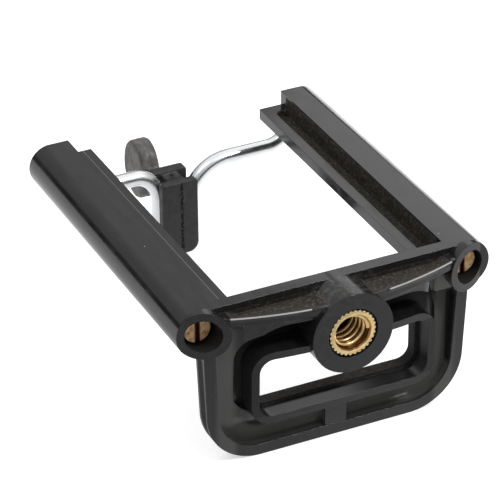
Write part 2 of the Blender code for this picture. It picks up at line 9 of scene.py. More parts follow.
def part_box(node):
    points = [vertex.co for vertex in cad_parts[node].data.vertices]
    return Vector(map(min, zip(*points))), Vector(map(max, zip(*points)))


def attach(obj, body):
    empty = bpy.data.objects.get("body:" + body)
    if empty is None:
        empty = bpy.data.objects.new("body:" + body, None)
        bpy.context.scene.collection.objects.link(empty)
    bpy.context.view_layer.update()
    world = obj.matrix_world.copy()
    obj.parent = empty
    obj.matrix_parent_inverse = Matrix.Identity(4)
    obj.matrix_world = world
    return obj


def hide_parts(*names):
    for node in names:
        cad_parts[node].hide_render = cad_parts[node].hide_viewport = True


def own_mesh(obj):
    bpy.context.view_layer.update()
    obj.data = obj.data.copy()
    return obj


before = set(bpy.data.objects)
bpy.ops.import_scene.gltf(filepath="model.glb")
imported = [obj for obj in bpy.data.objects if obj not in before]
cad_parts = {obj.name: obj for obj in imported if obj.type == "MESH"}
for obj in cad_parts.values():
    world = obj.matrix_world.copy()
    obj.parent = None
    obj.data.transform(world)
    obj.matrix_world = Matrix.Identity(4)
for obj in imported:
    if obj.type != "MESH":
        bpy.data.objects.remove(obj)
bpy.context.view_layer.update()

# The photograph's view. The clamp lies on a white table, seen from the tripod screw's side,
# from the left and above, through a long lens. All places on the clamp are given from the
# middle of the screw boss's front face, in metres: X right, Y along the arms, Z up.
nut_low, nut_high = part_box("tripod_nut")
BOSS = Vector((0.0, nut_low.y - 0.0001, (nut_low.z + nut_high.z) / 2))
FOCAL_PIXELS = 3104.0
PHOTO_SIZE = 500
VIEW_TURN = math.radians(25.57)
VIEW_FALL = math.radians(30.63)
VIEW_ROLL = math.radians(-0.50)
VIEW_DISTANCE = 0.5089
BOSS_PIXEL = (353.5, 333.3)

ahead = Vector((math.sin(VIEW_TURN) * math.cos(VIEW_FALL),
                math.cos(VIEW_TURN) * math.cos(VIEW_FALL), -math.sin(VIEW_FALL)))
level_right = Vector((math.cos(VIEW_TURN), -math.sin(VIEW_TURN), 0.0))
level_up = level_right.cross(ahead)
picture_right = level_right * math.cos(VIEW_ROLL) + level_up * math.sin(VIEW_ROLL)
picture_up = level_up * math.cos(VIEW_ROLL) - level_right * math.sin(VIEW_ROLL)
pixel = VIEW_DISTANCE / FOCAL_PIXELS
eye = (BOSS - ahead * VIEW_DISTANCE
       - picture_right * (BOSS_PIXEL[0] - PHOTO_SIZE / 2) * pixel
       + picture_up * (BOSS_PIXEL[1] - PHOTO_SIZE / 2) * pixel)
camera = bpy.data.objects.new("photo_camera", bpy.data.cameras.new("photo_camera"))
camera.data.sensor_width = 36.0
camera.data.lens = FOCAL_PIXELS * camera.data.sensor_width / PHOTO_SIZE
camera.data.clip_start = 0.01
camera.matrix_world = (Matrix.Translation(eye)
                       @ Matrix((picture_right, picture_up, -ahead)).transposed().to_4x4())
bpy.context.scene.collection.objects.link(camera)
bpy.context.scene.camera = camera
bpy.context.scene.view_settings.view_transform = "Standard"


# The studio: a white room with a darker band just above the table's far edge, which the
# glossy plastic and the plated wire mirror, a white table, and three lamps. The small near
# lamp draws the thin bright lines along the moulding's upper edges.
ROOM_GREYS = ((0.0, 0.40), (0.02, 0.05), (0.19, 0.06), (0.32, 0.52),
              (0.60, 0.62), (0.80, 1.1), (1.0, 1.1))
ROOM_LEFT_TO_RIGHT = (-1.0, 1.0, 0.85, 1.15)
TABLE_REACH = 2.0
TABLE_GREY = 0.80
TABLE_SEEN_GLOW = 0.55
TABLE_MIRRORED_GLOW = (("Y", -0.09, -0.05, 0.72, 1.0), ("Y", -0.02, 0.05, 1.0, 1.75),
                       ("X", -0.010, 0.040, 0.66, 1.05))


def light_room():
    """World that the camera sees white and the clamp sees as greys at each height, 0 to 1."""
    world = bpy.data.worlds.new("white_room")
    world.use_nodes = True
    nodes, links = world.node_tree.nodes, world.node_tree.links
    nodes.clear()
    out = nodes.new("ShaderNodeOutputWorld")
    mix = nodes.new("ShaderNodeMixShader")
    path = nodes.new("ShaderNodeLightPath")
    seen = nodes.new("ShaderNodeBackground")
    room = nodes.new("ShaderNodeBackground")
    coords = nodes.new("ShaderNodeTexCoord")
    split = nodes.new("ShaderNodeSeparateXYZ")
    ramp = nodes.new("ShaderNodeValToRGB")
    links.new(coords.outputs["Generated"], split.inputs[0])
    links.new(split.outputs["Z"], ramp.inputs[0])
    band = ramp.color_ramp
    (lowest, lowest_grey), *between, (highest, highest_grey) = ROOM_GREYS
    band.elements[0].position, band.elements[1].position = lowest, highest
    for height, grey in between:
        band.elements.new(height).color = (grey, grey, grey, 1.0)
    band.elements[0].color = (lowest_grey, lowest_grey, lowest_grey, 1.0)
    band.elements[-1].color = (highest_grey, highest_grey, highest_grey, 1.0)
    links.new(ramp.outputs["Color"], room.inputs["Color"])
    sideways = nodes.new("ShaderNodeMapRange")
    for i, value in enumerate(ROOM_LEFT_TO_RIGHT, 1):
        sideways.inputs[i].default_value = value
    links.new(split.outputs["X"], sideways.inputs[0])
    links.new(sideways.outputs[0], room.inputs["Strength"])
    seen.inputs["Color"].default_value = (1.0, 1.0, 1.0, 1.0)
    links.new(path.outputs["Is Camera Ray"], mix.inputs["Fac"])
    links.new(room.outputs[0], mix.inputs[1])
    links.new(seen.outputs[0], mix.inputs[2])
    links.new(mix.outputs[0], out.inputs["Surface"])
    bpy.context.scene.world = world


def hang_lamp(name, direction, distance, size, power):
    """Round lamp that faces the boss from a direction."""
    lamp = bpy.data.objects.new(name, bpy.data.lights.new(name, "AREA"))
    lamp.data.shape = "DISK"
    lamp.data.size = size
    lamp.data.energy = power
    toward = Vector(direction).normalized()
    lamp.matrix_world = (Matrix.Translation(BOSS + toward * distance)
                         @ toward.to_track_quat("Z", "Y").to_matrix().to_4x4())
    bpy.context.scene.collection.objects.link(lamp)


def lay_table():
    """White table top: seen white with the clamp's faint shadow, and mirrored in shades."""
    table = bpy.data.meshes.new("table_top")
    corners = ((-1, -1), (1, -1), (1, 1), (-1, 1))
    table.from_pydata([(x * TABLE_REACH, y * TABLE_REACH, 0.0) for x, y in corners],
                      [], [(0, 1, 2, 3)])
    finish = bpy.data.materials.new("white_table")
    finish.use_nodes = True
    nodes, links = finish.node_tree.nodes, finish.node_tree.links
    nodes.clear()
    out = nodes.new("ShaderNodeOutputMaterial")
    matt = nodes.new("ShaderNodeBsdfDiffuse")
    matt.inputs["Color"].default_value = (TABLE_GREY, TABLE_GREY, TABLE_GREY, 1.0)
    path = nodes.new("ShaderNodeLightPath")
    seen = nodes.new("ShaderNodeEmission")
    seen.inputs["Strength"].default_value = TABLE_SEEN_GLOW
    seen_table = nodes.new("ShaderNodeAddShader")
    links.new(matt.outputs[0], seen_table.inputs[0])
    links.new(seen.outputs[0], seen_table.inputs[1])
    place = nodes.new("ShaderNodeTexCoord")
    split = nodes.new("ShaderNodeSeparateXYZ")
    links.new(place.outputs["Object"], split.inputs[0])
    glow = None
    for axis, *values in TABLE_MIRRORED_GLOW:
        along = nodes.new("ShaderNodeMapRange")
        links.new(split.outputs[axis], along.inputs[0])
        for i, value in enumerate(values, 1):
            along.inputs[i].default_value = value
        if glow is None:
            glow = along.outputs[0]
            continue
        product = nodes.new("ShaderNodeMath")
        product.operation = "MULTIPLY"
        links.new(glow, product.inputs[0])
        links.new(along.outputs[0], product.inputs[1])
        glow = product.outputs[0]
    mirrored = nodes.new("ShaderNodeEmission")
    links.new(glow, mirrored.inputs["Strength"])
    by_camera = nodes.new("ShaderNodeMixShader")
    by_gloss = nodes.new("ShaderNodeMixShader")
    links.new(path.outputs["Is Camera Ray"], by_camera.inputs["Fac"])
    links.new(matt.outputs[0], by_camera.inputs[1])
    links.new(seen_table.outputs[0], by_camera.inputs[2])
    links.new(path.outputs["Is Glossy Ray"], by_gloss.inputs["Fac"])
    links.new(by_camera.outputs[0], by_gloss.inputs[1])
    links.new(mirrored.outputs[0], by_gloss.inputs[2])
    links.new(by_gloss.outputs[0], out.inputs["Surface"])
    table.materials.append(finish)
    top = bpy.data.objects.new("table_top", table)
    bpy.context.scene.collection.objects.link(top)


light_room()
lay_table()
hang_lamp("front_lamp", direction=(0.37, -0.50, 0.78), distance=0.9, size=0.16, power=3.2)
hang_lamp("soft_lamp", direction=(-0.5, -0.2, 1.0), distance=1.2, size=0.5, power=1.0)
hang_lamp("near_lamp", direction=(0.47, 0.76, 0.45), distance=0.232, size=0.080, power=0.0105)


# Frame: one injection moulding of glossy black plastic, with the screw boss, the slotted
# plate, the bowed band and both tubular arms. Its edges are slightly rounded by the mould,
# the outside is polished, and the floors of its hollows keep the spark-eroded mould's grain.
MERGE_REACH = 2e-6
FLAT_WITHIN = math.radians(0.6)
SLIVER = 2e-5
ROD_X = 0.0246
AXIS_Z = 0.00325
BORE_RADIUS = 0.0031
BAND_FRONT = 0.0004
BOW_FALL = 0.118
PLATE_BACK = 0.0092
RIM_INSIDE = 0.0216
SLOT_FOOT = -0.0145
LEDGE_FRONT = 0.0106
LEDGE_END = 0.0676
STRIP_ACROSS = (-0.0196, -0.0183)
STRIP_ALONG = (0.0102, 0.0680)
STRIP_HEIGHTS = (0.0027, 0.00455)
LIP_RADIUS = 0.00027
LIP_SETBACK = 0.00020
LIP_Z = 0.00592
LIP_START = 0.0068
LIP_STEP = 0.0006
LIP_POINTS = 24
POLISHED_DARK = (0.0080, 0.0080, 0.0082)
POLISHED_LIGHT = (0.0190, 0.0190, 0.0195)
POLISHED_EVEN = (0.0120, 0.0120, 0.0122)
GRAIN_PIT = (0.0130, 0.0108, 0.0080)
GRAIN_CRUMB = (0.150, 0.124, 0.090)
# Painted light: a lighter grey on the recessed face, standing in for the light it catches.
RECESSED_FACE_PAINTED_LIGHT = (0.078, 0.077, 0.074)
RUBBED_GREY = (0.045, 0.042, 0.038)
# Painted highlight: a thin light line on the left ledge's edge.
LEDGE_EDGE_HIGHLIGHT_GREY = (0.16, 0.16, 0.16)
# Painted highlight: light grey along the band's rolled lip.
LIP_HIGHLIGHT_GREY = (0.44, 0.44, 0.44)
# Painted shade: the black painted into the moulding's recesses.
UNLIT_BLACK = (0.0050, 0.0048, 0.0045)
SPECK_GREY = (0.55, 0.54, 0.50)


def own_copy(node, name):
    """Copy of a CAD solid as one clean skin, without its old shading."""
    bm = bmesh.new()
    bm.from_mesh(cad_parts[node].data)
    bmesh.ops.remove_doubles(bm, verts=bm.verts, dist=MERGE_REACH)
    mesh = bpy.data.meshes.new(name)
    bm.to_mesh(mesh)
    bm.free()
    for label in ("custom_normal", "sharp_edge", "sharp_face"):
        if label in mesh.attributes:
            mesh.attributes.remove(mesh.attributes[label])
    piece = bpy.data.objects.new(name, mesh)
    bpy.context.scene.collection.objects.link(piece)
    return piece


def join_on(piece, addition):
    """Joins a closed mesh on a piece. The addition is used up."""
    other = bpy.data.objects.new("addition", addition)
    bpy.context.scene.collection.objects.link(other)
    step = piece.modifiers.new("step", "BOOLEAN")
    step.object = other
    step.operation = "UNION"
    step.solver = "EXACT"
    settle(piece)
    bpy.data.objects.remove(other)
    bpy.data.meshes.remove(addition)


def settle(piece):
    """Makes the piece's modifiers part of its mesh."""
    bpy.context.view_layer.update()
    depsgraph = bpy.context.evaluated_depsgraph_get()
    finished = piece.evaluated_get(depsgraph)
    piece.data = bpy.data.meshes.new_from_object(finished, depsgraph=depsgraph)
    piece.modifiers.clear()


def loft(loops):
    """Closed mesh through loops of points, each with the same count."""
    bm = bmesh.new()
    rings = [[bm.verts.new(point) for point in loop] for loop in loops]
    for near, far in zip(rings, rings[1:]):
        for i in range(len(near)):
            j = (i + 1) % len(near)
            bm.faces.new((near[i], near[j], far[j], far[i]))
    bm.faces.new(rings[0])
    bm.faces.new(rings[-1])
    bmesh.ops.recalc_face_normals(bm, faces=bm.faces)
    mesh = bpy.data.meshes.new("loft")
    bm.to_mesh(mesh)
    bm.free()
    return mesh


def shade_round(piece, corner=32.0):
    """Smooth shading, with edges kept sharp past a corner of this many degrees."""
    piece.data.shade_smooth()
    piece.data.set_sharp_from_angle(angle=math.radians(corner))


def shade_even(piece, corner=32.0):
    """Round shading whose flat faces stay flat up to their edges."""
    bm = bmesh.new()
    bm.from_mesh(piece.data)
    bmesh.ops.dissolve_limit(bm, angle_limit=FLAT_WITHIN, verts=bm.verts, edges=bm.edges)
    bmesh.ops.dissolve_degenerate(bm, dist=SLIVER, edges=bm.edges)
    bmesh.ops.triangulate(bm, faces=bm.faces)
    bm.to_mesh(piece.data)
    bm.free()
    shade_round(piece, corner)
    even = piece.modifiers.new("even_shading", "WEIGHTED_NORMAL")
    even.keep_sharp = True
    settle(piece)


class Finish:
    """A surface finish, built from nodes round one Principled shader."""

    def __init__(self, name, colour, roughness, metallic=0.0):
        self.material = bpy.data.materials.new(name)
        self.material.use_nodes = True
        self.nodes = self.material.node_tree.nodes
        self.links = self.material.node_tree.links
        self.shader = self.nodes["Principled BSDF"]
        self.set(self.shader, "Base Color", (*colour, 1.0))
        self.set(self.shader, "Roughness", roughness)
        self.set(self.shader, "Metallic", metallic)
        self.place = self.add("ShaderNodeTexCoord").outputs["Object"]
        self.edge_normal = None

    def add(self, kind, **inputs):
        """New node with its inputs set or linked by name."""
        node = self.nodes.new(kind)
        for name, value in inputs.items():
            self.set(node, name.replace("_", " "), value)
        return node

    def set(self, node, socket, value):
        """Links a socket to an input, or sets the input to a value."""
        if isinstance(value, bpy.types.NodeSocket):
            self.links.new(value, node.inputs[socket])
        else:
            node.inputs[socket].default_value = value

    def noise(self, size, detail=3.0, stretch=None):
        """Noise whose lumps are about this many metres across."""
        place = self.place
        if stretch:
            place = self.add("ShaderNodeMapping", Vector=place, Scale=stretch).outputs["Vector"]
        node = self.add("ShaderNodeTexNoise", Vector=place, Scale=1.0 / size, Detail=detail)
        return node.outputs["Fac"]

    def dots(self, spacing, radius):
        """Sparse round dots, 1 inside and 0 outside."""
        cells = self.add("ShaderNodeTexVoronoi", Vector=self.place, Scale=1.0 / spacing)
        return self.ramp(cells.outputs["Distance"], radius / spacing, radius / spacing * 0.6)

    def ramp(self, value, low, high, to_low=0.0, to_high=1.0):
        """Value mapped from low..high to to_low..to_high and held there."""
        node = self.nodes.new("ShaderNodeMapRange")
        self.set(node, 0, value)
        for i, v in enumerate((low, high, to_low, to_high), 1):
            self.set(node, i, v)
        return node.outputs[0]

    def blend(self, share, first, second):
        """Colour or value between two, by a share."""
        node = self.nodes.new("ShaderNodeMix")
        node.data_type = "RGBA"
        for socket, value in zip((0, 6, 7), (share, first, second)):
            if isinstance(value, tuple) and len(value) == 3:
                value = (*value, 1.0)
            self.set(node, socket, value)
        return node.outputs[2]

    def maths(self, kind, first, second=0.0):
        """Socket with the result of one step of arithmetic."""
        node = self.nodes.new("ShaderNodeMath")
        node.operation = kind
        self.set(node, 0, first)
        self.set(node, 1, second)
        return node.outputs[0]

    def round_edges(self, radius):
        """Rounds the shading over edges, as far as this many metres from them."""
        self.edge_normal = self.add("ShaderNodeBevel", Radius=radius).outputs["Normal"]

    def length(self, across, up):
        """Distance from a line that runs along Y."""
        squares = (self.maths("MULTIPLY", across, across), self.maths("MULTIPLY", up, up))
        return self.maths("SQRT", self.maths("ADD", *squares))

    def from_boss(self):
        """X, Y and Z sockets, measured from the middle of the boss's front face."""
        moved = self.add("ShaderNodeVectorMath")
        moved.operation = "SUBTRACT"
        self.set(moved, 0, self.place)
        self.set(moved, 1, tuple(BOSS))
        return self.add("ShaderNodeSeparateXYZ", Vector=moved.outputs[0]).outputs

    def zone(self, *limits, soft=0.0001):
        """1 where each (value, low, high) lies within its limits, 0 outside."""
        share = 1.0
        for value, low, high in limits:
            if low is not None:
                share = self.maths("MULTIPLY", share, self.ramp(value, low - soft, low + soft))
            if high is not None:
                share = self.maths("MULTIPLY", share, self.ramp(value, high + soft, high - soft))
        return share

    def bumps(self, *layers):
        """Stacks bump layers given as (height, depth in metres)."""
        normal = self.edge_normal
        for height, depth in layers:
            node = self.add("ShaderNodeBump", Height=height, Distance=depth, Strength=1.0)
            if normal:
                self.set(node, "Normal", normal)
            normal = node.outputs["Normal"]
        self.set(self.shader, "Normal", normal)


def plastic_finish():
    """Polished black, with the mould's grain in the hollows, painted shade in its recesses, painted
    light on the recessed face and painted highlights on edges.
    """
    finish = Finish("moulded_black_plastic", POLISHED_EVEN, 0.26)
    most, times = "MAXIMUM", "MULTIPLY"

    # Places on the moulding, by distance from its middle, depth behind the boss and height.
    x, y, z = finish.from_boss()
    away = finish.maths("ABSOLUTE", x)
    bowed = finish.maths("DIVIDE", finish.maths(times, x, x), BOW_FALL)
    behind_bow = finish.maths("SUBTRACT", y, bowed)
    ledge = (y, LEDGE_FRONT, LEDGE_END)
    hollow = finish.zone((away, None, 0.0203), (behind_bow, 0.00075, None), (y, None, 0.0064),
                         (z, 0.0050, 0.00612))
    # Painted highlight: the band's rolled lip is painted light grey.
    lip_highlight = finish.zone((away, 0.0072, 0.0204), (behind_bow, None, 0.00052),
                      (z, 0.0060, 0.0066), soft=0.00005)
    ridge = finish.zone((away, None, 0.0068), (y, 0.0006, 0.0066), (z, 0.0052, 0.0080), soft=0.0004)
    pocket = finish.zone((x, 0.0187, 0.0215), ledge, (z, 0.0030, 0.00442))
    pocket_wall = finish.zone((x, 0.0210, 0.0215), ledge, (z, 0.0030, 0.0069))
    # Painted highlight: a thin light line along the left ledge's edge.
    ledge_edge_highlight = finish.zone((x, -0.01838, -0.01824), (z, 0.0040, 0.0047), soft=0.00003)
    windows = finish.zone((away, None, 0.0179), (y, 0.0052, PLATE_BACK), (z, -0.0135, 0.0046),
                          soft=0.0004)
    throat = finish.zone((away, None, 0.0160), (y, 0.0066, 0.0090), (z, SLOT_FOOT, -0.0026))
    slot_floor = finish.zone((away, None, 0.0166), (y, 0.0030, 0.0066), (z, SLOT_FOOT, -0.0120))
    slot_sides = finish.zone((away, 0.0128, 0.0172), (y, 0.0014, PLATE_BACK), (z, -0.0138, -0.0030))
    # Painted light: the recessed face, low down and at the sides, is painted lighter grey.
    low_face_painted_light = finish.zone((y, 0.0064, PLATE_BACK), (z, None, -0.0150), soft=0.0005)
    side_face_painted_light = finish.zone((away, 0.0186, 0.0222), (y, 0.0058, PLATE_BACK), (z, None, 0.0030),
                            soft=0.0006)
    rim_walls = finish.zone((away, RIM_INSIDE, None), (y, 0.0062, 0.0082), (z, None, -0.0020))
    from_rod = finish.length(finish.maths("SUBTRACT", away, ROD_X),
                             finish.maths("SUBTRACT", z, AXIS_Z))
    bore = finish.zone((from_rod, None, BORE_RADIUS), (y, 0.0046, None))

    # Which of them are grained, and which get painted shade (dull black) and are dull.
    grain = finish.maths(most, finish.maths(most, hollow, pocket),
                         finish.maths(most, pocket_wall, throat))
    # Painted shade: rim walls, slot floor and sides, throat, bores and windows are painted dull
    # black.
    recess_painted_shade = rim_walls
    for place, share in ((slot_floor, 0.35), (slot_sides, 0.80), (throat, 0.55)):
        recess_painted_shade = finish.maths(most, recess_painted_shade, finish.maths(times, place, share))
    recess_painted_shade = finish.maths(most, finish.maths(most, bore, recess_painted_shade),
                        finish.maths("SUBTRACT", windows, finish.maths(times, throat, windows)))

    # Colour, gloss and bumps: streaks along the arms where it was wiped, grain, wear, dust specks,
    # painted light on the recessed face, painted highlights and painted shade.
    fine = finish.noise(0.00014, 4.0)
    wide = finish.noise(0.006, 3.0)
    specks = finish.dots(0.0044, 0.00011)
    wiped = finish.noise(0.0011, 4.0, (1.0, 0.12, 1.0))
    streaks = finish.blend(finish.ramp(wiped, 0.38, 0.66), POLISHED_DARK, POLISHED_LIGHT)
    polished = finish.blend(finish.ramp(wide, 0.3, 0.7), streaks, POLISHED_EVEN)
    crumbs = finish.ramp(finish.maths(times, fine, finish.noise(0.0005, 3.0)), 0.24, 0.42)
    grainy = finish.blend(crumbs, GRAIN_PIT, GRAIN_CRUMB)
    colour = finish.blend(finish.maths(most, low_face_painted_light, side_face_painted_light), polished, RECESSED_FACE_PAINTED_LIGHT)
    rubbed = finish.maths(times, ridge, finish.ramp(finish.noise(0.0009, 5.0), 0.46, 0.62))
    for place, paint in ((rubbed, RUBBED_GREY), (ledge_edge_highlight, LEDGE_EDGE_HIGHLIGHT_GREY), (lip_highlight, LIP_HIGHLIGHT_GREY),
                         (grain, grainy), (recess_painted_shade, UNLIT_BLACK), (specks, SPECK_GREY)):
        colour = finish.blend(place, colour, paint)
    finish.set(finish.shader, "Base Color", colour)
    smears = finish.maths(times, wiped, finish.noise(0.0032, 4.0))
    gloss = finish.ramp(smears, 0.12, 0.42, 0.10, 0.23)
    dull = finish.maths(times, finish.maths(most, grain, recess_painted_shade), 0.70)
    finish.set(finish.shader, "Roughness", finish.maths(most, gloss, dull))

    band_edge = finish.zone((away, None, 0.0205), (behind_bow, None, 0.0012), (z, 0.0052, 0.0070))
    finish.round_edges(finish.ramp(band_edge, 0.0, 1.0, 0.00013, 0.00045))
    finish.bumps((finish.noise(0.0030, 2.0), 0.000010),
                 (finish.noise(0.0004, 3.0), 0.0000020),
                 (finish.maths(times, fine, grain), 0.00020))
    return finish.material


def bow(x):
    """Depth of the bowed band's front edge at a distance from the middle."""
    return BAND_FRONT + x * x / BOW_FALL


def new_tree(name, inputs):
    """Geometry Nodes tree with named inputs and one geometry output."""
    tree = bpy.data.node_groups.new(name, "GeometryNodeTree")
    ids = {}
    for label, kind in inputs:
        socket = tree.interface.new_socket(name=label, in_out="INPUT", socket_type=kind)
        ids[label] = socket.identifier
    tree.interface.new_socket(name="Geometry", in_out="OUTPUT", socket_type="NodeSocketGeometry")
    start = tree.nodes.new("NodeGroupInput")
    end = tree.nodes.new("NodeGroupOutput")

    def put(kind, **inputs):
        """New node with its inputs set or linked by name."""
        node = tree.nodes.new(kind)
        for label, value in inputs.items():
            socket = node.inputs[label.replace("_", " ")]
            if isinstance(value, bpy.types.NodeSocket):
                tree.links.new(value, socket)
            else:
                socket.default_value = value
        return node

    def close(geometry):
        """Ends the tree in plain geometry with its finish on it."""
        real = put("GeometryNodeRealizeInstances", Geometry=geometry)
        dressed = put("GeometryNodeSetMaterial", Geometry=real.outputs[0],
                      Material=start.outputs["Finish"])
        tree.links.new(dressed.outputs[0], end.inputs[0])

    return tree, ids, start, put, close


def grow(name, tree, ids, values, base=None):
    """Runs a tree and returns its result as a plain mesh object."""
    seed = bpy.data.objects.new(name + "_seed", base or bpy.data.meshes.new(name + "_seed"))
    bpy.context.scene.collection.objects.link(seed)
    run = seed.modifiers.new("run", "NODES")
    run.node_group = tree
    for label, value in values.items():
        run[ids[label]] = value
    bpy.context.view_layer.update()
    depsgraph = bpy.context.evaluated_depsgraph_get()
    mesh = bpy.data.meshes.new_from_object(seed.evaluated_get(depsgraph), depsgraph=depsgraph)
    mesh.name = name
    seed.modifiers.remove(run)
    bpy.data.objects.remove(seed)
    piece = bpy.data.objects.new(name, mesh)
    bpy.context.scene.collection.objects.link(piece)
    return piece


def wire_tree():
    """Round wire along a line of edges."""
    tree, ids, start, put, close = new_tree("bent_wire", (
        ("Path", "NodeSocketGeometry"), ("Wire Radius", "NodeSocketFloat"),
        ("Finish", "NodeSocketMaterial")))
    line = put("GeometryNodeMeshToCurve", Mesh=start.outputs["Path"])
    profile = put("GeometryNodeCurvePrimitiveCircle", Resolution=28,
                  Radius=start.outputs["Wire Radius"])
    wire = put("GeometryNodeCurveToMesh", Curve=line.outputs[0],
               Profile_Curve=profile.outputs[0], Fill_Caps=True)
    close(wire.outputs[0])
    return tree, ids


def drawn_line(name, points, closed=False):
    """Mesh of edges from point to point, for a wire to follow."""
    joints = [(i, i + 1) for i in range(len(points) - 1)]
    if closed:
        joints.append((len(points) - 1, 0))
    line = bpy.data.meshes.new(name)
    line.from_pydata(points, joints, [])
    return line


def dress(piece, material):
    """Gives the whole piece one finish."""
    piece.data.materials.clear()
    piece.data.materials.append(material)


def put_together(name, parts):
    """One object from several meshes, which are used up."""
    bm = bmesh.new()
    for part in parts:
        if isinstance(part, bmesh.types.BMesh):
            piece = bpy.data.meshes.new(name + "_part")
            part.to_mesh(piece)
            part.free()
        else:
            piece = part.data
            bpy.data.objects.remove(part)
        bm.from_mesh(piece)
        bpy.data.meshes.remove(piece)
    mesh = bpy.data.meshes.new(name)
    bm.to_mesh(mesh)
    bm.free()
    whole = bpy.data.objects.new(name, mesh)
    bpy.context.scene.collection.objects.link(whole)
    return whole


# The left ledge's recess is filled, because only the bright edge of the recess shows there; the
# plastic paints that edge as a thin light line, a painted highlight.
moulding = own_copy("frame", "frame_moulding")
outer, inner = STRIP_ACROSS
near, far = STRIP_ALONG
strip_plan = ((outer, near), (inner, near), (inner, far), (outer, far))
join_on(moulding, loft([[BOSS + Vector((x, y, z)) for x, y in strip_plan] for z in STRIP_HEIGHTS]))
shade_even(moulding)
plastic = plastic_finish()

# A rolled lip runs along the bowed band's front edge, on each side of the boss; the plastic's
# colour paints it light grey as a painted highlight.
moulding_parts = [moulding]
tree, ids = wire_tree()
for side, label in ((1, "right"), (-1, "left")):
    places = [LIP_START + LIP_STEP * i for i in range(LIP_POINTS)]
    lip_line = drawn_line(label + "_lip_line", [
        BOSS + Vector((side * x, bow(x) + LIP_SETBACK, LIP_Z)) for x in places])
    moulding_parts.append(grow(label + "_band_lip", tree, ids,
                               {"Wire Radius": LIP_RADIUS, "Finish": plastic}, lip_line))
moulding = put_together("frame_moulding", moulding_parts)
dress(moulding, plastic)
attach(moulding, "frame_body")
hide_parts("frame")


# Tripod nut: turned brass, moulded in the boss and closed at its back. Its flange has coarse
# scalloped teeth that grip the plastic, and its hole has the tripod screw's quarter-inch thread.
NUT_LONG = nut_high.y - nut_low.y
FLANGE_RADIUS = 0.00425
TEETH_CIRCLE = 0.00388
TEETH_COUNT = 30
TEETH_LONG = 0.0011
TEETH_MIDDLE = 0.0006
NUT_FACE_RADIUS = 0.0040
NUT_FACE_EDGE = 0.0039
FLANGE_BACK = 0.0012
BARREL_RADIUS = 0.0037
NUT_SIDES = 96
END_WALL = 0.0003
END_PINHOLE = 0.0002
THREAD_CREST = 0.0026
THREAD_ROOT = 0.0033
THREAD_PITCH = 0.00127
THREAD_START = 0.0006
THREAD_LONG = NUT_LONG - 0.0008
THREAD_STEPS = 40
RIDGE_RADIUS = 0.00037
BRASS_BRIGHT = (0.98, 0.78, 0.44)
BRASS_DEEP = (0.86, 0.60, 0.28)
THREAD_SHADE_BROWN = (0.24, 0.115, 0.038)


def turned(profile, sides, centre):
    """Ring of revolution about Y from a closed (radius, y) profile."""
    bm = bmesh.new()
    loops = []
    turns = [2 * math.pi * i / sides for i in range(sides)]
    for radius, y in profile:
        loops.append([bm.verts.new((centre.x + radius * math.cos(a), centre.y + y,
                                    centre.z + radius * math.sin(a))) for a in turns])
    for near, far in zip(loops, loops[1:] + loops[:1]):
        for i in range(sides):
            j = (i + 1) % sides
            bm.faces.new((near[i], near[j], far[j], far[i]))
    bmesh.ops.recalc_face_normals(bm, faces=bm.faces)
    return bm


def brass_finish():
    """Bright on the face and the ridges, with painted brown shade in the thread's roots and at the
    hole's closed end.
    """
    finish = Finish("turned_brass", BRASS_DEEP, 0.30, 1.0)
    x, y, z = finish.from_boss()
    radius = finish.length(x, z)
    # Painted shade: the thread's roots and the hole's closed end are painted brown.
    root = finish.zone((radius, 0.00305, 0.00345), (y, THREAD_START, None), soft=0.00012)
    closed_end = finish.zone((radius, None, 0.0034), (y, NUT_LONG - 0.0005, None), soft=0.00012)
    thread_painted_shade = finish.maths("MAXIMUM", root, closed_end)
    patches = finish.noise(0.0009, 4.0)
    metal = finish.blend(finish.ramp(patches, 0.35, 0.7), BRASS_BRIGHT, BRASS_DEEP)
    finish.set(finish.shader, "Base Color", finish.blend(thread_painted_shade, metal, THREAD_SHADE_BROWN))
    rough = finish.ramp(finish.noise(0.0005, 4.0), 0.3, 0.7, 0.24, 0.42)
    finish.set(finish.shader, "Roughness", rough)
    finish.round_edges(0.00010)
    finish.bumps((finish.noise(0.0004, 3.0), 0.000006))
    return finish.material


def teeth_tree():
    """Ring of round teeth about a line along Y."""
    tree, ids, start, put, close = new_tree("flange_teeth", (
        ("Count", "NodeSocketInt"), ("Pitch Radius", "NodeSocketFloat"),
        ("Tooth Radius", "NodeSocketFloat"), ("Length", "NodeSocketFloat"),
        ("Centre", "NodeSocketVector"), ("Finish", "NodeSocketMaterial")))
    ring = put("GeometryNodeMeshCircle", Vertices=start.outputs["Count"],
               Radius=start.outputs["Pitch Radius"])
    tooth = put("GeometryNodeMeshCylinder", Vertices=10, Radius=start.outputs["Tooth Radius"],
                Depth=start.outputs["Length"])
    teeth = put("GeometryNodeInstanceOnPoints", Points=ring.outputs[0], Instance=tooth.outputs[0])
    placed = put("GeometryNodeTransform", Geometry=teeth.outputs[0],
                 Translation=start.outputs["Centre"], Rotation=(math.radians(90), 0.0, 0.0))
    close(placed.outputs[0])
    return tree, ids


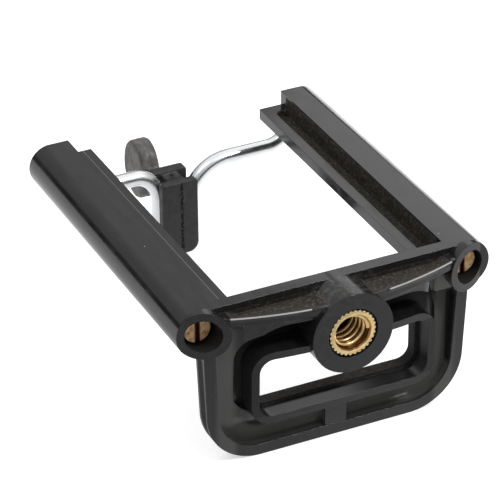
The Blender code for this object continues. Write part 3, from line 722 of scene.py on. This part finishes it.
def coil_tree(name, profile_sides):
    """Wire or ridge wound round a line along Y."""
    tree, ids, start, put, close = new_tree(name, (
        ("Turns", "NodeSocketFloat"), ("Coil Radius", "NodeSocketFloat"),
        ("Wire Radius", "NodeSocketFloat"), ("Length", "NodeSocketFloat"),
        ("Steps", "NodeSocketInt"), ("Centre", "NodeSocketVector"),
        ("Finish", "NodeSocketMaterial")))
    spiral = put("GeometryNodeCurveSpiral", Resolution=start.outputs["Steps"],
                 Rotations=start.outputs["Turns"], Start_Radius=start.outputs["Coil Radius"],
                 End_Radius=start.outputs["Coil Radius"], Height=start.outputs["Length"])
    upright = put("GeometryNodeSetCurveNormal", Curve=spiral.outputs[0])
    upright.mode = "Z_UP"
    profile = put("GeometryNodeCurvePrimitiveCircle", Resolution=profile_sides,
                  Radius=start.outputs["Wire Radius"])
    wire = put("GeometryNodeCurveToMesh", Curve=upright.outputs[0],
               Profile_Curve=profile.outputs[0], Fill_Caps=True)
    placed = put("GeometryNodeTransform", Geometry=wire.outputs[0],
                 Translation=start.outputs["Centre"], Rotation=(math.radians(-90), 0.0, 0.0))
    close(placed.outputs[0])
    return tree, ids


brass = brass_finish()
nut_front = Vector((BOSS.x, nut_low.y, BOSS.z))
body = turned(((THREAD_ROOT + 0.0001, 0.0), (NUT_FACE_EDGE, 0.0), (NUT_FACE_RADIUS, 0.0001),
               (NUT_FACE_RADIUS, FLANGE_BACK), (BARREL_RADIUS, FLANGE_BACK + 0.0001),
               (BARREL_RADIUS, NUT_LONG), (END_PINHOLE, NUT_LONG),
               (END_PINHOLE, NUT_LONG - END_WALL), (THREAD_ROOT, NUT_LONG - END_WALL),
               (THREAD_ROOT, 0.0002)), NUT_SIDES, nut_front)
tree, ids = teeth_tree()
teeth = grow("nut_teeth", tree, ids, {
    "Count": TEETH_COUNT, "Pitch Radius": TEETH_CIRCLE,
    "Tooth Radius": FLANGE_RADIUS - TEETH_CIRCLE, "Length": TEETH_LONG,
    "Centre": nut_front + Vector((0.0, TEETH_MIDDLE, 0.0)), "Finish": brass})
tree, ids = coil_tree("thread_ridge", 10)
thread = grow("nut_thread", tree, ids, {
    "Turns": THREAD_LONG / THREAD_PITCH, "Coil Radius": THREAD_CREST + RIDGE_RADIUS,
    "Wire Radius": RIDGE_RADIUS, "Length": THREAD_LONG, "Steps": THREAD_STEPS,
    "Centre": nut_front + Vector((0.0, THREAD_START, 0.0)), "Finish": brass})
tripod_nut = put_together("brass_tripod_nut", (body, teeth, thread))
shade_round(tripod_nut, 50.0)
dress(tripod_nut, brass)
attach(tripod_nut, "frame_body")
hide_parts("tripod_nut")


# Wire hoop: one length of bright plated steel wire, bent to a hoop. Its two ends are the rods
# that slide in the arms, and its narrow loop is moulded into the rubber grip.
WIRE_RADIUS = 0.00145
ROD_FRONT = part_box("wire_hoop")[0].y - BOSS.y
CROSS_Y = 0.0723
CROSS_Z = -0.0054
ROD_BEND = 0.0025
SHOULDER_BEND = 0.0052
RIGHT_DIP_BEND = 0.0089
LEFT_DIP_BEND = 0.0044
LOOP_RADIUS = 0.0028
LOOP_SHIFT_LEFT = 0.0002
LOOP_LEAN = 0.0012
LOOP_Z = -0.0185
SAME_POINT = 1e-6
PLATING_DARK = (0.66, 0.67, 0.68)
PLATING_LIGHT = (0.84, 0.85, 0.86)


def plated_finish():
    """Bright plating, drawn faintly along the wire."""
    finish = Finish("plated_wire", PLATING_LIGHT, 0.20, 1.0)
    finish.set(finish.shader, "Base Color",
               finish.blend(finish.noise(0.0030, 3.0), PLATING_DARK, PLATING_LIGHT))
    rough = finish.ramp(finish.noise(0.0008, 4.0), 0.3, 0.7, 0.16, 0.27)
    finish.set(finish.shader, "Roughness", rough)
    finish.bumps((finish.noise(0.0006, 3.0, (1.0, 0.15, 1.0)), 0.000006))
    return finish.material


def quarter(cx, cy, radius, start, stop, steps=14):
    """Points along an arc about a centre, from one angle to another in degrees."""
    turns = [math.radians(start + (stop - start) * i / steps) for i in range(steps + 1)]
    return [(cx + radius * math.cos(a), cy + radius * math.sin(a)) for a in turns]


def hoop_half(side, dip):
    """Middle line of half the wire, from a rod's front end to the loop's lowest point."""
    half = [(ROD_X, ROD_FRONT, AXIS_Z)]
    half += [(ROD_X, y, z) for y, z in quarter(CROSS_Y - ROD_BEND, AXIS_Z - ROD_BEND,
                                               ROD_BEND, 90, 0)]
    half += [(x, CROSS_Y, z) for x, z in quarter(ROD_X - SHOULDER_BEND, CROSS_Z + SHOULDER_BEND,
                                                 SHOULDER_BEND, 0, -90)]
    middle = -side * LOOP_SHIFT_LEFT
    for x, z in quarter(middle + LOOP_RADIUS + dip, CROSS_Z - dip, dip, 90, 180):
        half.append((x, CROSS_Y - LOOP_LEAN * (CROSS_Z - z) / dip, z))
    half += [(x, CROSS_Y - LOOP_LEAN, z) for x, z in quarter(middle, LOOP_Z + LOOP_RADIUS,
                                                             LOOP_RADIUS, 0, -90)]
    return [(side * x, y, z) for x, y, z in half]


path = hoop_half(1, RIGHT_DIP_BEND) + hoop_half(-1, LEFT_DIP_BEND)[-2::-1]
path = [BOSS + Vector(p) for p in path]
path = [p for i, p in enumerate(path) if i == 0 or (p - path[i - 1]).length > SAME_POINT]
tree, ids = wire_tree()
hoop = grow("plated_hoop", tree, ids, {"Wire Radius": WIRE_RADIUS, "Finish": plated_finish()},
            drawn_line("hoop_line", path))
shade_round(hoop, 50.0)
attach(hoop, "hoop_body")
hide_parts("wire_hoop")


# Springs: drawn steel wire, one round each rod inside its arm. Each is caught between the rod's nut
# and the arm's end wall.
# In the real clamp it is pressed shorter as the hoop is pulled out; here it keeps one length on the
# frame.
SPRING_WIRE_RADIUS = 0.0003
SPRING_TURNS = 18.0
SPRING_STEPS = 20
STEEL_DARK = (0.34, 0.34, 0.35)
STEEL_LIGHT = (0.52, 0.51, 0.50)


def spring_finish():
    """Drawn steel, a little oiled."""
    finish = Finish("spring_steel", STEEL_DARK, 0.32, 1.0)
    finish.set(finish.shader, "Base Color",
               finish.blend(finish.noise(0.0015, 3.0), STEEL_DARK, STEEL_LIGHT))
    finish.bumps((finish.noise(0.0003, 2.0), 0.000004))
    return finish.material


steel = spring_finish()
tree, ids = coil_tree("spring_coil", 8)
for label in ("right", "left"):
    low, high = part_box(label + "_spring")
    spring = grow(label + "_coil_spring", tree, ids, {
        "Turns": SPRING_TURNS, "Coil Radius": (high.z - low.z) / 2 - SPRING_WIRE_RADIUS,
        "Wire Radius": SPRING_WIRE_RADIUS, "Length": high.y - low.y - 2 * SPRING_WIRE_RADIUS,
        "Steps": SPRING_STEPS, "Finish": steel,
        "Centre": ((low.x + high.x) / 2, low.y + SPRING_WIRE_RADIUS, BOSS.z + AXIS_Z)})
    shade_round(spring, 50.0)
    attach(spring, "frame_body")
    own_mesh(spring)
    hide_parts(label + "_spring")


# Rod nuts: small brass cylinders, turned and slotted, screwed on the rods' front ends inside
# the rings. They hold the springs and keep the hoop in the frame.
DRIVER_SLOT_HALF = 0.00050
DRIVER_SLOT_FRONT = 0.0070
NUT_BRASS = (0.66, 0.47, 0.25)
NUT_STAIN = (0.46, 0.22, 0.11)
NUT_DIRT = (0.16, 0.10, 0.05)
SLOT_SHADE_RED = (0.10, 0.014, 0.007)


def worn_brass_finish():
    """Stained brass with dirt in pits, and painted dark red shade in the driver's slot."""
    finish = Finish("worn_nut_brass", NUT_BRASS, 0.45, 0.35)
    x, y = finish.from_boss()[:2]
    away = finish.maths("ABSOLUTE", x)
    from_middle = finish.maths("ABSOLUTE", finish.maths("SUBTRACT", away, ROD_X))
    # Painted shade: the driver's slot is painted dark red.
    slot_painted_shade = finish.zone((from_middle, None, DRIVER_SLOT_HALF), (y, DRIVER_SLOT_FRONT, None))
    patches = finish.noise(0.0009, 5.0)
    stained = finish.blend(finish.ramp(patches, 0.42, 0.60), NUT_BRASS, NUT_STAIN)
    dirt = finish.dots(0.0011, 0.00020)
    stained = finish.blend(dirt, stained, NUT_DIRT)
    finish.set(finish.shader, "Base Color", finish.blend(slot_painted_shade, stained, SLOT_SHADE_RED))
    rough = finish.ramp(finish.noise(0.0006, 4.0), 0.3, 0.7, 0.38, 0.62)
    finish.set(finish.shader, "Roughness", rough)
    finish.round_edges(0.00010)
    finish.bumps((patches, 0.00004), (finish.noise(0.00025, 3.0), 0.00001))
    return finish.material


worn_brass = worn_brass_finish()
for label in ("right", "left"):
    nut = own_copy(label + "_rod_nut", label + "_slotted_nut")
    shade_even(nut)
    dress(nut, worn_brass)
    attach(nut, "hoop_body")
    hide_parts(label + "_rod_nut")


# Grip: one moulding of soft black rubber on the hoop's loop, with a neck and a round finger
# tab behind. The mould's halves leave a ragged seam of flash down its front and round the tab.
GRIP_FRONT = 0.0682
PAD_BACK = 0.0700
GRIP_BACK = 0.0751
GRIP_TOP = -0.0061
GRIP_FOOT = -0.0212
PAD_HALF = 0.0036
CORE_HALF = 0.0026
WEB_HALF = 0.0017
LUG_HALF = 0.0035
NECK_HALF = 0.0012
NECK_FOOT = -0.0131
NECK_TOP = -0.0087
NECK_BACK = 0.0820
TAB_MIDDLE = (-0.0004, 0.0846, -0.0109)
TAB_HALF_LONG = 0.0047
TAB_HALF_HIGH = 0.00575
TAB_SECTION = ((-0.0018, 0.0006), (-0.0016, 0.0002), (-0.0012, 0.0),
               (0.0012, 0.0), (0.0016, 0.0002), (0.0018, 0.0006))
TAB_ROUND = 60
SEAM_X = 0.0003
SEAM_STEP = 0.00045
SEAM_POINTS = 32
SEAM_STRAY = 0.00022
SEAM_DEPTH = 0.00016
PAD_BLACK = (0.011, 0.0118, 0.0112)
PAD_SCUFFED = (0.018, 0.0186, 0.0172)
# Painted sheen: a lighter grey on the pad's left side.
PAD_LEFT_SHEEN = (0.034, 0.0335, 0.032)
# The tab's greys: finger scuffs, and painted sheen.
TAB_GREY_WITH_SHEEN = (0.062, 0.060, 0.056)
TAB_SCUFFED_WITH_SHEEN = (0.142, 0.137, 0.127)
SEAM_BLACK = (0.0020, 0.0020, 0.0020)


def rubber_finish():
    """Matt rubber, darker on the pad with painted sheen on its left side, with its seam black, and
    the tab lighter: scuffed by fingers and painted sheen.
    """
    finish = Finish("black_rubber", PAD_SCUFFED, 0.62)
    x, y = finish.from_boss()[:2]
    tab = finish.zone((y, 0.0785, None), soft=0.0008)
    scuffs = finish.ramp(finish.noise(0.0013, 5.0, (1.0, 1.0, 0.45)), 0.42, 0.72)
    pad_colour = finish.blend(scuffs, PAD_BLACK, PAD_SCUFFED)
    # The tab's greys are lighter than the pad's: partly finger scuffs, partly painted sheen.
    tab_scuffs_and_sheen = finish.blend(scuffs, TAB_GREY_WITH_SHEEN, TAB_SCUFFED_WITH_SHEEN)
    # Painted sheen: the pad's left side is painted lighter.
    left_side_sheen = finish.zone((x, None, -0.0034), (y, None, 0.0755))
    pad_colour = finish.blend(left_side_sheen, pad_colour, PAD_LEFT_SHEEN)
    stray = finish.maths("SUBTRACT", finish.noise(0.0005, 3.0), 0.5)
    ragged_x = finish.maths("ADD", x, finish.maths("MULTIPLY", stray, 0.0014))
    flash = finish.zone((ragged_x, 0.00005, 0.00055), (y, None, GRIP_FRONT + 0.0001), soft=0.00006)
    pad_colour = finish.blend(flash, pad_colour, SEAM_BLACK)
    finish.set(finish.shader, "Base Color", finish.blend(tab, pad_colour, tab_scuffs_and_sheen))
    matt = finish.ramp(finish.noise(0.0010, 3.0), 0.3, 0.7, 0.42, 0.62)
    matt = finish.maths("MAXIMUM", matt, finish.maths("MULTIPLY", flash, 0.95))
    finish.set(finish.shader, "Roughness", matt)
    finish.round_edges(0.00030)
    finish.bumps((finish.noise(0.0012, 3.0), 0.00005), (finish.noise(0.00025, 3.0), 0.00002))
    return finish.material


def rounded_outline(half, low, high, low_radius, high_radius):
    """Rounded rectangle in X and Z, with its lower and its upper corners' radii."""
    outline = quarter(half - low_radius, low + low_radius, low_radius, -90, 0, 8)
    outline += quarter(half - high_radius, high - high_radius, high_radius, 0, 90, 8)
    outline += quarter(high_radius - half, high - high_radius, high_radius, 90, 180, 8)
    return outline + quarter(low_radius - half, low + low_radius, low_radius, 180, 270, 8)


def block(outline_at, front, back, soft):
    """Block from front to back whose outline is drawn in by a soft edge at both ends."""
    ends = ((front, soft), (front + soft * 0.3, soft * 0.3), (front + soft, 0.0),
            (back - soft, 0.0), (back - soft * 0.3, soft * 0.3), (back, soft))
    return loft([[BOSS + Vector((x, y, z)) for x, z in outline_at(inset)] for y, inset in ends])


def tab_rim(x, inset):
    """Points round the finger tab's oval at a place across its thickness."""
    turns = [2 * math.pi * i / TAB_ROUND for i in range(TAB_ROUND)]
    return [BOSS + Vector((TAB_MIDDLE[0] + x,
                           TAB_MIDDLE[1] + (TAB_HALF_LONG - inset) * math.cos(a),
                           TAB_MIDDLE[2] + (TAB_HALF_HIGH - inset) * math.sin(a))) for a in turns]


# Pad in front, a narrower core and web behind it that leave the wire's legs bare at the sides,
# lugs over them at the top, and the neck to the tab.
pad = block(lambda i: rounded_outline(PAD_HALF - i, GRIP_FOOT + i, GRIP_TOP - i, 0.0020, 0.0007),
            GRIP_FRONT, PAD_BACK, 0.0003)
core = block(lambda i: rounded_outline(CORE_HALF - i, GRIP_FOOT + 0.0002, GRIP_TOP - 0.0030 - i,
                                       0.0018, 0.0005),
             PAD_BACK - 0.0004, GRIP_BACK - 0.0002, 0.0002)
web = block(lambda i: rounded_outline(WEB_HALF - i, GRIP_FOOT + 0.0006, GRIP_TOP - 0.0002,
                                      0.0005, 0.0005),
            PAD_BACK - 0.0005, GRIP_BACK - 0.0004, 0.0001)
lugs = block(lambda i: rounded_outline(LUG_HALF - i, GRIP_TOP - 0.0035 + i, GRIP_TOP + 0.0002 - i,
                                       0.0006, 0.0006),
             GRIP_BACK - 0.0021, GRIP_BACK, 0.00025)
neck = block(lambda i: rounded_outline(NECK_HALF - i, NECK_FOOT, NECK_TOP, 0.0004, 0.0004),
             GRIP_BACK - 0.0006, NECK_BACK, 0.0001)
grip = bpy.data.objects.new("rubber_grip_block", pad)
bpy.context.scene.collection.objects.link(grip)
for part in (core, web, lugs, neck, loft([tab_rim(x, inset) for x, inset in TAB_SECTION])):
    join_on(grip, part)
shade_even(grip, 40.0)
rubber = rubber_finish()
chance = random.Random(11)
seam = [BOSS + Vector((SEAM_X + chance.uniform(-SEAM_STRAY, SEAM_STRAY),
                       GRIP_FRONT + chance.uniform(0.0, SEAM_DEPTH),
                       GRIP_TOP - 0.0002 - i * SEAM_STEP)) for i in range(SEAM_POINTS)]
pip = [BOSS + Vector((0.0, 0.07185, z)) for z in (GRIP_TOP - 0.0006, GRIP_TOP + 0.0002)]
grip_parts = [grip]
tree, ids = wire_tree()
for name, points, closed, radius in (("front_flash", seam, False, 0.00021),
                                     ("top_pip", pip, False, 0.00035),
                                     ("tab_flash", tab_rim(0.0002, 0.00004), True, 0.00009)):
    grip_parts.append(grow(name, tree, ids, {"Wire Radius": radius, "Finish": rubber},
                           drawn_line(name + "_line", points, closed)))
grip = put_together("rubber_grip_block", grip_parts)
shade_round(grip, 40.0)
dress(grip, rubber)
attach(grip, "hoop_body")
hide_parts("rubber_grip")
